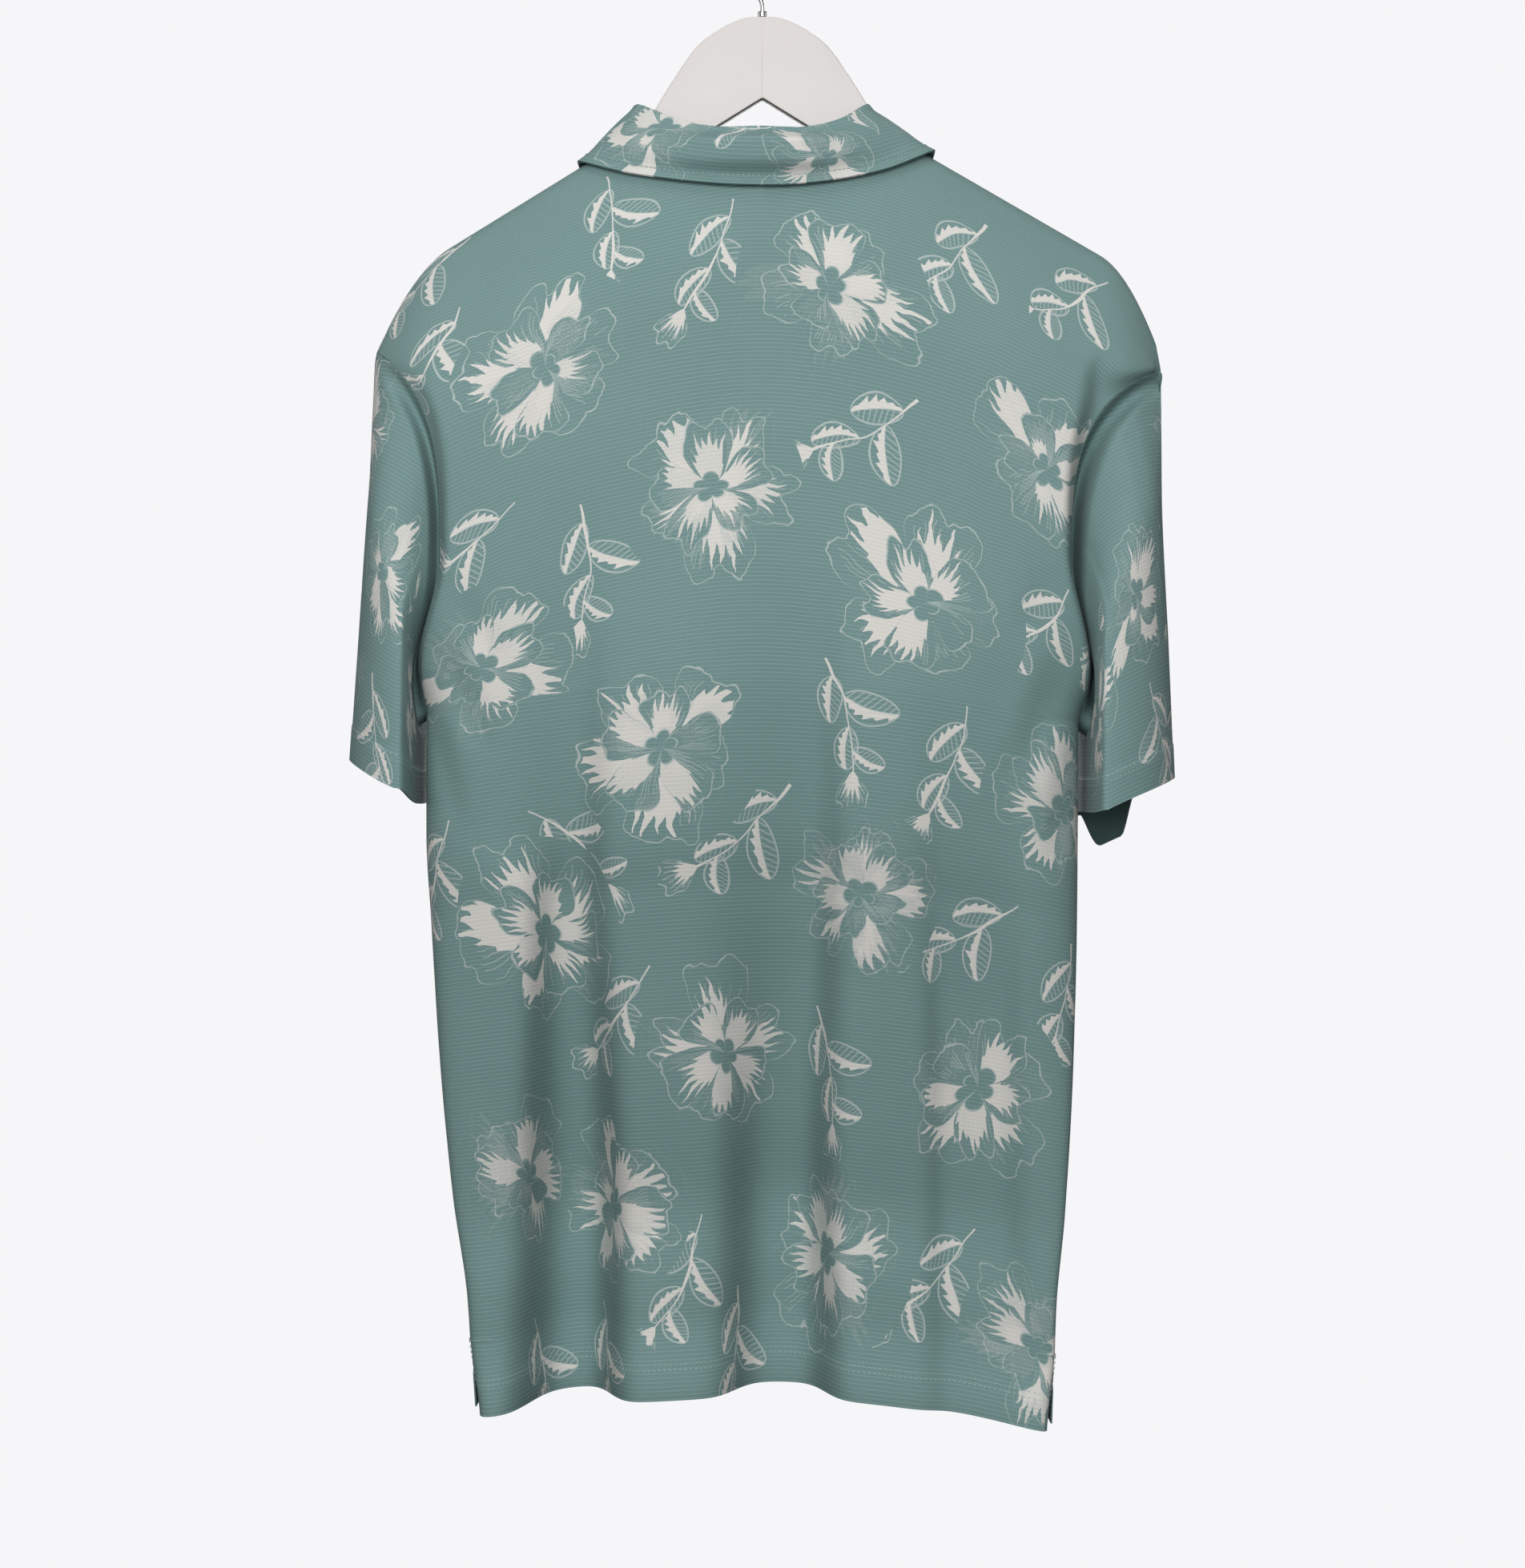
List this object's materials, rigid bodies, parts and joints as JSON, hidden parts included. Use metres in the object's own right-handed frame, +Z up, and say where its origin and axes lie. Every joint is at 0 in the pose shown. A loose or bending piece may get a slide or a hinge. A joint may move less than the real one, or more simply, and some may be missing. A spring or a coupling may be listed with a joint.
{
  "type": "polo shirt on a hanger",
  "caption": "Short-sleeved knit polo shirt with a flower print, buttoned placket and side vents, hanging on a plain white board hanger with a wire hook.",
  "frame": {"origin": "the point under the crown of the hanger's hook where a rail carries it", "axes": "+Z up, -Y out of the shirt's front, +Y out of its back, +X towards the wearer's left"},
  "size_m": [0.4968, 0.1572, 0.913],
  "materials": {
    "printed_knit": "matte teal knit with an off-white flower print",
    "button_resin": "satin pearl white",
    "board_white": "matte warm white",
    "hook_steel": "plated wire"
  },
  "bodies": {
    "root": {"back": "printed_knit", "front": "printed_knit", "sleeve_left": "printed_knit", "sleeve_right": "printed_knit", "collar": "printed_knit", "placket": "printed_knit", "button_1": "button_resin", "button_2": "button_resin", "button_3": "button_resin", "hanger": "board_white", "hook": "hook_steel", "ferrule": "hook_steel"}
  },
  "joints": []
}
